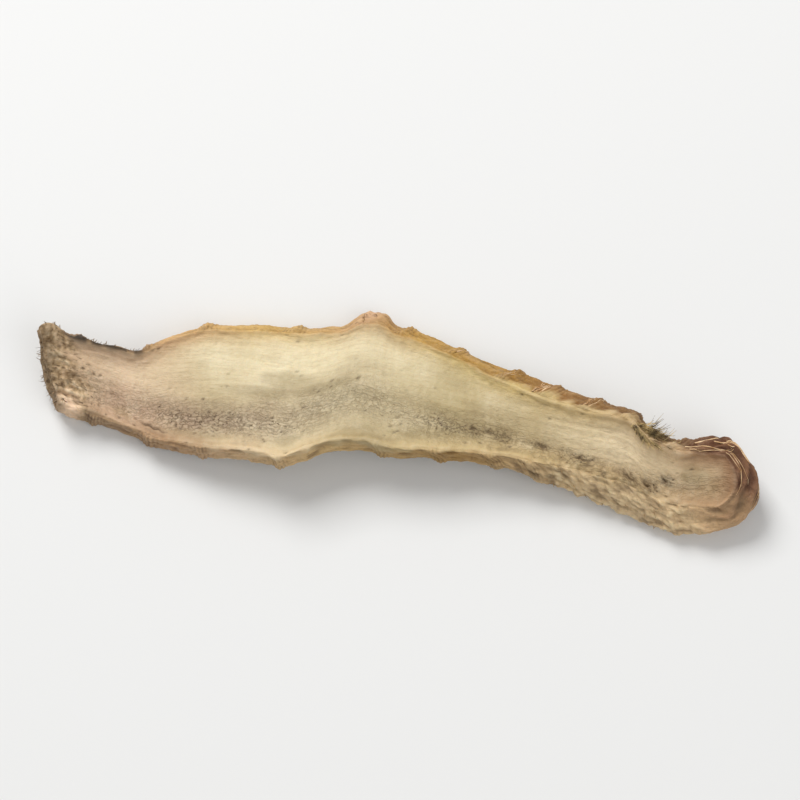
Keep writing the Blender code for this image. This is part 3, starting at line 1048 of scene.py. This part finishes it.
def fibre_material(name, dark, light):
    """Dry fibre, in clouds of a dark and a light colour."""
    made, start, shader = new_material(name)
    tone = start.node("TexCoord", out="Object").cloud(900.0)
    tone.ramp(((0.35, *dark), (0.65, *light))).into(shader["Base Color"])
    shader["Roughness"].default_value = 0.75
    return made


def rod_shape(lengths):
    """A tapering rod of five sides, one long and one thick, cut into lengths so that it can bend."""
    rod = bmesh.new()
    bmesh.ops.create_cone(rod, cap_ends=True, segments=5, radius1=1.0, radius2=0.35, depth=1.0)
    sides = [edge for edge in rod.edges if abs(edge.verts[0].co.z - edge.verts[1].co.z) > 0.5]
    bmesh.ops.subdivide_edges(rod, edges=sides, cuts=lengths - 1, use_grid_fill=True)
    bmesh.ops.translate(rod, vec=(0, 0, 0.5), verts=rod.verts[:])
    return mesh_of("rod_shape", rod)


def add_strand(block, shape, path, radius):
    """A rod bent along a path, which has a point for each share from 0 to 1. None leaves the solid's box."""
    low, high = SOLID_BOX
    room = STRAND_ROOM * radius
    for share in (0, 0.25, 0.5, 0.75, 1):
        point = path(share)
        if not all(low[k] + room < point[k] < high[k] - room for k in range(3)):
            return
    rod = bmesh.new()
    rod.from_mesh(shape)
    for corner in rod.verts:
        share = corner.co.z
        ahead = path(min(share + STRAND_STEP, 1.0)) - path(max(share - STRAND_STEP, 0.0))
        turn = ahead.to_track_quat("Z", "Y").to_matrix()
        corner.co = path(share) + turn @ Vector((corner.co.x * radius, corner.co.y * radius, 0))
    bent = mesh_of("bent_rod", rod)
    block.from_mesh(bent)
    bpy.data.meshes.remove(bent)


def free_path(root, way, length, curl):
    """The path of a hair that grows from root along way, and bends by curl."""

    def path(share):
        return root + way * length * (share - HAIR_ROOTED) + curl * share * share

    return path


def lying_path(surface, places, lift):
    """The path of a strand that lies on the slice through places (s, t, w)."""
    points = [point + outward * lift for point, outward in (surface.at(*place) for place in places)]
    legs = len(points) - 1

    def path(share):
        step = min(int(share * legs), legs - 1)
        return points[step].lerp(points[step + 1], share * legs - step)

    return path


# How many radii strands stay inside the solid's box, and the step that their bend is read over.
STRAND_ROOM = 1.5
STRAND_STEP = 0.02

# Clumps of hairs, as (lowest s, highest s, lowest t, highest t, lowest w, highest w, hairs, shortest,
# longest, lean towards the bud).
STEM_CLUMPS = (
    (0.0, 0.0, -1.0, 1.0, 0.0, 0.9, 70, 0.25, 0.8, 0.0),
    (0.0, 0.03, 1.0, 1.0, 0.0, 0.6, 16, 0.25, 0.6, -0.5),
    (0.0, 0.05, -0.9, 0.9, 0.0, 0.0, 60, 0.5, 1.2, -1.4),
    (0.03, 0.13, 1.0, 1.0, 0.0, 0.2, 44, 0.2, 0.45, 0.4),
)
NOTCH_CLUMPS = (
    (0.852, 0.888, 1.0, 1.0, 0.0, 0.4, 150, 0.9, 2.3, 0.5),
    (0.882, 0.915, 1.0, 1.0, 0.0, 0.4, 40, 0.6, 1.4, 0.8),
    (0.850, 0.900, 0.80, 1.0, 0.0, 0.0, 90, 0.6, 1.5, 1.6),
)
ROOTLET_CLUMPS = (
    (0.425, 0.450, 1.0, 1.0, 0.0, 0.4, 10, 0.3, 0.8, 0.0),
    (0.120, 0.130, -1.0, -1.0, 0.2, 0.6, 6, 0.3, 0.8, 0.0),
    (0.700, 0.950, -1.0, -1.0, 0.0, 0.9, 46, 0.25, 0.7, 0.3),
    (0.930, 1.000, 1.0, 1.0, 0.0, 0.7, 18, 0.3, 0.9, 0.8),
)

# The pieces of hairs, as (piece, material, dark colour, light colour, clumps, seed).
HAIRS = (
    ("torn_fibres", "torn_fibre", (74, 58, 42), (170, 142, 108), STEM_CLUMPS, 11),
    ("notch_fibres", "notch_fibre", (66, 52, 26), (222, 194, 136), NOTCH_CLUMPS, 12),
    ("rootlet_hairs", "rootlet_fibre", (120, 90, 58), (196, 160, 112), ROOTLET_CLUMPS, 13),
)
HAIR_LEGS = 4
HAIR_RADII = (0.035, 0.075)
HAIR_ROOTED = 0.08
HAIR_SPREAD = 0.6
HAIR_CURL = 0.35
HAIR_LEAN = 2.0
HAIR_LOOK_AHEAD = 0.01

# Dry rags of the scale leaves that lie across the far skin on four rings, as (s, strands).
RAGS = ((0.700, 9), (0.775, 9), (0.655, 4), (0.575, 3))
RAG_LEGS = 6
RAG_STRAY = 0.007
RAG_SLANT = 0.012
RAG_TOP = (0.0, 0.2)
RAG_FOOT = (0.4, 0.9)
RAG_RADII = (0.042, 0.091)
RAG_LIFT = 0.04

# Long threads round the bud's far corner, as (lowest s, highest s, least w, most w, strands).
THREADS = ((0.925, 0.985, 0.00, 0.22, 3), (0.930, 0.985, 0.28, 0.56, 6))
THREAD_PLACES = 7
THREAD_END_T = 0.7
THREAD_RADII = (0.0595, 0.102)
THREAD_LIFT = 0.09


def stray(draw, most):
    """A random way, at most so far along each axis."""
    return Vector([draw.uniform(-most, most) for _ in range(3)])


def make_hairs(name, clumps, material, surface, seed):
    """One piece of all the hairs of a list of clumps."""
    draw = random.Random(seed)
    shape = rod_shape(HAIR_LEGS)
    block = bmesh.new()
    for s_low, s_high, t_low, t_high, w_low, w_high, count, shortest, longest, lean in clumps:
        for _ in range(count):
            s, t, w = draw.uniform(s_low, s_high), draw.uniform(t_low, t_high), draw.uniform(w_low, w_high)
            root, outward = surface.at(s, t, w)
            ahead = surface.at(min(s + HAIR_LOOK_AHEAD, 1.0), t, w)[0] - root
            way = outward + stray(draw, HAIR_SPREAD)
            way += HAIR_LEAN * lean * ahead.normalized() if lean else Vector()
            way.normalize()
            length = draw.uniform(shortest, longest) * MM
            curl = stray(draw, HAIR_CURL) * length
            add_strand(block, shape, free_path(root, way, length, curl), draw.uniform(*HAIR_RADII) * MM)
    bpy.data.meshes.remove(shape)
    bmesh.ops.recalc_face_normals(block, faces=block.faces[:])
    make_piece(name, block, material)


def make_rags(material, surface, seed):
    """One piece of the rags on the rings and the threads round the bud."""
    draw = random.Random(seed)
    block = bmesh.new()
    shape = rod_shape(RAG_LEGS)
    for ring, count in RAGS:
        for _ in range(count):
            s, slant = ring + draw.uniform(-RAG_STRAY, RAG_STRAY), draw.uniform(-RAG_SLANT, RAG_SLANT)
            w_low, w_high = draw.uniform(*RAG_TOP), draw.uniform(*RAG_FOOT)
            shares = [k / RAG_LEGS for k in range(RAG_LEGS + 1)]
            places = [(s + slant * share, 1, mix(w_low, w_high, share)) for share in shares]
            path = lying_path(surface, places, RAG_LIFT * MM)
            add_strand(block, shape, path, draw.uniform(*RAG_RADII) * MM)
    bpy.data.meshes.remove(shape)
    shape = rod_shape(2 * THREAD_PLACES)
    for s_low, s_high, w_low, w_high, count in THREADS:
        for _ in range(count):
            s, t = draw.uniform(s_low, s_high), draw.uniform(-THREAD_END_T, THREAD_END_T)
            start, end = draw.uniform(w_low, w_high), draw.uniform(w_low, w_high)
            steps = range(THREAD_PLACES)
            round_bud = [(mix(s, 1.0, k / THREAD_PLACES), 1.0) for k in steps]
            round_bud += [(1.0, mix(1.0, t, k / (THREAD_PLACES - 1))) for k in steps]
            last = len(round_bud) - 1
            places = [(*place, mix(start, end, k / last)) for k, place in enumerate(round_bud)]
            path = lying_path(surface, places, THREAD_LIFT * MM)
            add_strand(block, shape, path, draw.uniform(*THREAD_RADII) * MM)
    bpy.data.meshes.remove(shape)
    bmesh.ops.recalc_face_normals(block, faces=block.faces[:])
    make_piece("scale_rags", block, material)


def make_floor():
    """The plain pale floor."""
    block = bmesh.new()
    bmesh.ops.create_grid(block, x_segments=1, y_segments=1, size=3.0)
    floor = shown("floor", mesh_of("floor", block))
    made, _, shader = new_material("pale_floor")
    shader["Base Color"].default_value = (0.80, 0.80, 0.79, 1)
    shader["Roughness"].default_value = 0.9
    floor.data.materials.append(made)


def make_light(name, place, size, power):
    light = shown(name, bpy.data.lights.new(name, "AREA"))
    light.data.size = size
    light.data.energy = power
    light.location = place
    light.rotation_euler = (-Vector(place)).to_track_quat("-Z", "Y").to_euler()


def make_world():
    world = bpy.data.worlds.new("studio")
    world.use_nodes = True
    sky = world.node_tree.nodes["Background"]
    sky.inputs["Color"].default_value = (1.0, 1.0, 1.0, 1)
    sky.inputs["Strength"].default_value = SKY_STRENGTH
    bpy.context.scene.world = world


# The soft lamps, as (name, place, size, power), and the strength of the light from all round.
LAMPS = (
    ("window", (-0.32, 0.42, 0.52), 0.34, 4.6),
    ("bounce", (0.45, -0.25, 0.45), 0.60, 1.3),
)
SKY_STRENGTH = 0.40

# The photograph's viewing angle: round from the slice's near side, and above the table.
VIEW_ROUND = math.radians(9.64)
VIEW_UP = math.radians(78.0)
VIEW_DISTANCE = 0.36
LENS = 140.0


def make_camera():
    low, high = SOLID_BOX
    level = math.cos(VIEW_UP)
    back = Vector((math.sin(VIEW_ROUND) * level, -math.cos(VIEW_ROUND) * level, math.sin(VIEW_UP)))
    camera = shown("camera", bpy.data.cameras.new("camera"))
    camera.data.lens = LENS
    camera.data.clip_start = 0.01
    camera.location = (low + high) / 2 + back * VIEW_DISTANCE
    camera.rotation_euler = (-back).to_track_quat("-Z", "Y").to_euler()
    bpy.context.scene.camera = camera


make_camera()
make_floor()
make_world()
for name, place, size, power in LAMPS:
    make_light(name, place, size, power)
bpy.context.scene.view_settings.view_transform = "Standard"

surface = make_slice(slice_material())
for name, fibre, dark, light, clumps, seed in HAIRS:
    make_hairs(name, clumps, fibre_material(fibre, dark, light), surface, seed)
make_rags(fibre_material("rag_fibre", (186, 142, 92), (240, 208, 166)), surface, 14)
